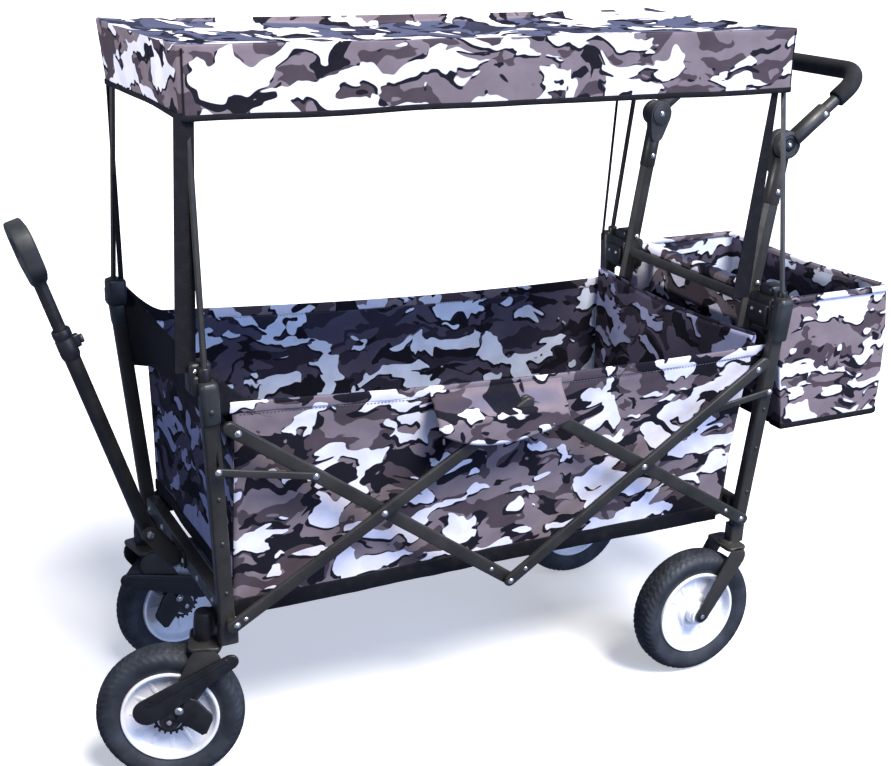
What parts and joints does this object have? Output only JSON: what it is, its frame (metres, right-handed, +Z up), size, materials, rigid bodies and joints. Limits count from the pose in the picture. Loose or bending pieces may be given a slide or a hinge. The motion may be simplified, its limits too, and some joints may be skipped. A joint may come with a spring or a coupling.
{
  "type": "folding wagon with pull handle",
  "caption": "Folding cloth wagon on castered wheels, with a side scissor linkage, a canopy, a telescoping pull handle, a tilting push handle and a basket.",
  "frame": {"origin": "on the ground, under the middle of the overall length and width", "axes": "+X to the rear, where the push handle and basket are; -Y to the left side; +Z up"},
  "size_m": [1.2773, 0.4962, 0.985],
  "materials": {
    "powder_coat": "satin",
    "black_plastic": "matte",
    "printed_cloth": "woven",
    "white_plastic": "satin",
    "rubber": "matte",
    "foam": "matte"
  },
  "bodies": {
    "front_frame": {"front_post_left": "powder_coat", "front_post_right": "powder_coat", "front_cross_tube": "powder_coat", "front_corner_left": "black_plastic", "front_corner_right": "black_plastic", "canopy_hoop_front": "powder_coat", "caster_housing_left": "black_plastic", "caster_housing_right": "black_plastic", "pull_yoke": "powder_coat", "canopy_cover": "printed_cloth", "tub_floor": "printed_cloth", "tub_side_left": "printed_cloth", "tub_side_right": "printed_cloth", "tub_front_panel": "printed_cloth"},
    "rear_frame": {"rear_post_left": "powder_coat", "rear_post_right": "powder_coat", "rear_cross_tube": "powder_coat", "rear_corner_left": "black_plastic", "rear_corner_right": "black_plastic", "canopy_hoop_rear": "powder_coat", "handle_tube_left": "powder_coat", "handle_tube_right": "powder_coat", "basket_bar": "powder_coat", "rear_basket": "printed_cloth", "tub_rear_panel": "printed_cloth", "rear_fork_left": "powder_coat", "rear_fork_right": "powder_coat"},
    "push_handle": {"push_handle_loop": "powder_coat", "push_handle_grip": "foam"},
    "pull_handle": {"pull_outer_tube": "powder_coat"},
    "pull_extension": {"pull_inner_tube": "powder_coat", "pull_grip": "black_plastic"},
    "pull_button": {"pull_lock_button": "black_plastic"},
    "bar_front_foot_left": {"bar_front_foot_left": "powder_coat"},
    "bar_front_high_left": {"bar_front_high_left": "powder_coat"},
    "bar_rear_foot_left": {"bar_rear_foot_left": "powder_coat"},
    "bar_rear_high_left": {"bar_rear_high_left": "powder_coat"},
    "stay_front_left": {"stay_front_left": "powder_coat"},
    "stay_rear_left": {"stay_rear_left": "powder_coat"},
    "caster_left": {"caster_fork_left": "powder_coat"},
    "front_wheel_left": {"front_rim_left": "white_plastic", "front_tyre_left": "rubber"},
    "rear_wheel_left": {"rear_rim_left": "white_plastic", "rear_tyre_left": "rubber"},
    "brake_left": {"brake_lever_left": "black_plastic"},
    "push_button_left": {"knuckle_button_left": "black_plastic"},
    "bar_front_foot_right": {"bar_front_foot_right": "powder_coat"},
    "bar_front_high_right": {"bar_front_high_right": "powder_coat"},
    "bar_rear_foot_right": {"bar_rear_foot_right": "powder_coat"},
    "bar_rear_high_right": {"bar_rear_high_right": "powder_coat"},
    "stay_front_right": {"stay_front_right": "powder_coat"},
    "stay_rear_right": {"stay_rear_right": "powder_coat"},
    "caster_right": {"caster_fork_right": "powder_coat"},
    "front_wheel_right": {"front_rim_right": "white_plastic", "front_tyre_right": "rubber"},
    "rear_wheel_right": {"rear_rim_right": "white_plastic", "rear_tyre_right": "rubber"},
    "brake_right": {"brake_lever_right": "black_plastic"},
    "push_button_right": {"knuckle_button_right": "black_plastic"}
  },
  "joints": [
    {"name": "fold", "type": "hinge", "parent": "front_frame", "child": "bar_front_foot_left", "pos_m": [-0.42935, -0.19343, 0.2498], "axis": [0, -0.9935, -0.1142], "range_deg": [0, 39], "deforming": ["tub_floor", "tub_side_left", "tub_side_right", "canopy_cover"]},
    {"name": "bar_front_foot_right_turn", "type": "hinge", "parent": "front_frame", "child": "bar_front_foot_right", "pos_m": [-0.42935, 0.19343, 0.2498], "axis": [0, -0.9935, 0.1142], "range_deg": [0, 39.05]},
    {"name": "bar_front_high_left_turn", "type": "hinge", "parent": "bar_front_foot_left", "child": "bar_front_high_left", "pos_m": [-0.22435, -0.20845, 0.38044], "axis": [0, -0.9935, -0.1142], "range_deg": [-75.32, 0]},
    {"name": "bar_rear_foot_left_turn", "type": "hinge", "parent": "bar_front_foot_left", "child": "bar_rear_foot_left", "pos_m": [-0.02135, -0.22333, 0.50981], "axis": [0, -0.9935, -0.1142], "range_deg": [-78.05, 0]},
    {"name": "bar_rear_high_left_turn", "type": "hinge", "parent": "bar_rear_foot_left", "child": "bar_rear_high_left", "pos_m": [0.18165, -0.20845, 0.38044], "axis": [0, -0.9935, -0.1142], "range_deg": [0, 75.32]},
    {"name": "bar_front_high_right_turn", "type": "hinge", "parent": "bar_front_foot_right", "child": "bar_front_high_right", "pos_m": [-0.22435, 0.20845, 0.38044], "axis": [0, -0.9935, 0.1142], "range_deg": [-75.32, 0]},
    {"name": "bar_rear_foot_right_turn", "type": "hinge", "parent": "bar_front_foot_right", "child": "bar_rear_foot_right", "pos_m": [-0.02135, 0.22333, 0.50981], "axis": [0, -0.9935, 0.1142], "range_deg": [-78.05, 0]},
    {"name": "bar_rear_high_right_turn", "type": "hinge", "parent": "bar_rear_foot_right", "child": "bar_rear_high_right", "pos_m": [0.18165, 0.20845, 0.38044], "axis": [0, -0.9935, 0.1142], "range_deg": [0, 75.32]},
    {"name": "rear_frame_turn", "type": "hinge", "parent": "bar_rear_foot_left", "child": "rear_frame", "pos_m": [0.38665, -0.19343, 0.2498], "axis": [0, -0.9935, -0.1142], "range_deg": [0, 39.05]},
    {"name": "stay_front_left_turn", "type": "hinge", "parent": "front_frame", "child": "stay_front_left", "pos_m": [-0.44945, -0.2197, 0.4783], "axis": [0, -0.9935, -0.1142], "range_deg": [0, 74.66]},
    {"name": "stay_rear_left_turn", "type": "hinge", "parent": "rear_frame", "child": "stay_rear_left", "pos_m": [0.395, -0.21807, 0.46409], "axis": [0, -0.9935, -0.1142], "range_deg": [-75.31, 0]},
    {"name": "stay_front_right_turn", "type": "hinge", "parent": "front_frame", "child": "stay_front_right", "pos_m": [-0.44945, 0.2197, 0.4783], "axis": [0, -0.9935, 0.1142], "range_deg": [0, 74.66]},
    {"name": "stay_rear_right_turn", "type": "hinge", "parent": "rear_frame", "child": "stay_rear_right", "pos_m": [0.395, 0.21807, 0.46409], "axis": [0, -0.9935, 0.1142], "range_deg": [-75.31, 0]},
    {"name": "caster_left_swivel", "type": "hinge", "parent": "front_frame", "child": "caster_left", "pos_m": [-0.45135, -0.158, 0.206], "axis": [0, 0, 1], "continuous": true},
    {"name": "front_wheel_left_spin", "type": "hinge", "parent": "caster_left", "child": "front_wheel_left", "pos_m": [-0.49833, -0.1409, 0.1], "axis": [-0.342, -0.9397, 0], "continuous": true},
    {"name": "brake_left_press", "type": "hinge", "parent": "caster_left", "child": "brake_left", "pos_m": [-0.48518, -0.14569, 0.12], "axis": [-0.342, -0.9397, 0], "range_deg": [-40, 0]},
    {"name": "rear_wheel_left_spin", "type": "hinge", "parent": "rear_frame", "child": "rear_wheel_left", "pos_m": [0.31865, -0.186, 0.1], "axis": [0, 1, 0], "continuous": true},
    {"name": "caster_right_swivel", "type": "hinge", "parent": "front_frame", "child": "caster_right", "pos_m": [-0.45135, 0.158, 0.206], "axis": [0, 0, 1], "continuous": true},
    {"name": "front_wheel_right_spin", "type": "hinge", "parent": "caster_right", "child": "front_wheel_right", "pos_m": [-0.40244, 0.1684, 0.1], "axis": [-0.2079, 0.9781, 0], "continuous": true},
    {"name": "brake_right_press", "type": "hinge", "parent": "caster_right", "child": "brake_right", "pos_m": [-0.41614, 0.16548, 0.12], "axis": [-0.2079, 0.9781, 0], "range_deg": [-28, 12]},
    {"name": "rear_wheel_right_spin", "type": "hinge", "parent": "rear_frame", "child": "rear_wheel_right", "pos_m": [0.31865, 0.186, 0.1], "axis": [0, 1, 0], "continuous": true},
    {"name": "pull_handle_tilt", "type": "hinge", "parent": "front_frame", "child": "pull_handle", "pos_m": [-0.48435, 0, 0.305], "axis": [0, -1, 0], "range_deg": [-18, 72]},
    {"name": "pull_handle_slide", "type": "slide", "parent": "pull_handle", "child": "pull_extension", "axis": [-0.3098, 0, 0.9508], "range_m": [-0.055, 0.215]},
    {"name": "pull_button_press", "type": "slide", "parent": "pull_handle", "child": "pull_button", "axis": [0.9508, 0, 0.3098], "range_m": [-0.003, 0], "stiffness_N_per_m": 600},
    {"name": "push_handle_tilt", "type": "hinge", "parent": "rear_frame", "child": "push_handle", "pos_m": [0.43315, 0, 0.8168], "axis": [0, 1, 0], "range_deg": [-50, 60]},
    {"name": "push_button_left_press", "type": "slide", "parent": "push_handle", "child": "push_button_left", "axis": [0, -1, 0], "range_m": [-0.003, 0], "stiffness_N_per_m": 600},
    {"name": "push_button_right_press", "type": "slide", "parent": "push_handle", "child": "push_button_right", "axis": [0, 1, 0], "range_m": [-0.003, 0], "stiffness_N_per_m": 600}
  ],
  "couplings": [
    {"joint": "bar_front_foot_right_turn", "follows": "fold", "ratio": 1},
    {"joint": "bar_front_high_left_turn", "follows": "fold", "ratio": -1.93},
    {"joint": "bar_rear_foot_left_turn", "follows": "fold", "ratio": -2},
    {"joint": "bar_rear_high_left_turn", "follows": "fold", "ratio": 1.93},
    {"joint": "bar_front_high_right_turn", "follows": "fold", "ratio": -1.93},
    {"joint": "bar_rear_foot_right_turn", "follows": "fold", "ratio": -2},
    {"joint": "bar_rear_high_right_turn", "follows": "fold", "ratio": 1.93},
    {"joint": "rear_frame_turn", "follows": "fold", "ratio": 1},
    {"joint": "stay_front_left_turn", "follows": "fold", "ratio": 1.913},
    {"joint": "stay_rear_left_turn", "follows": "fold", "ratio": -1.9298},
    {"joint": "stay_front_right_turn", "follows": "fold", "ratio": 1.913},
    {"joint": "stay_rear_right_turn", "follows": "fold", "ratio": -1.9298}
  ]
}
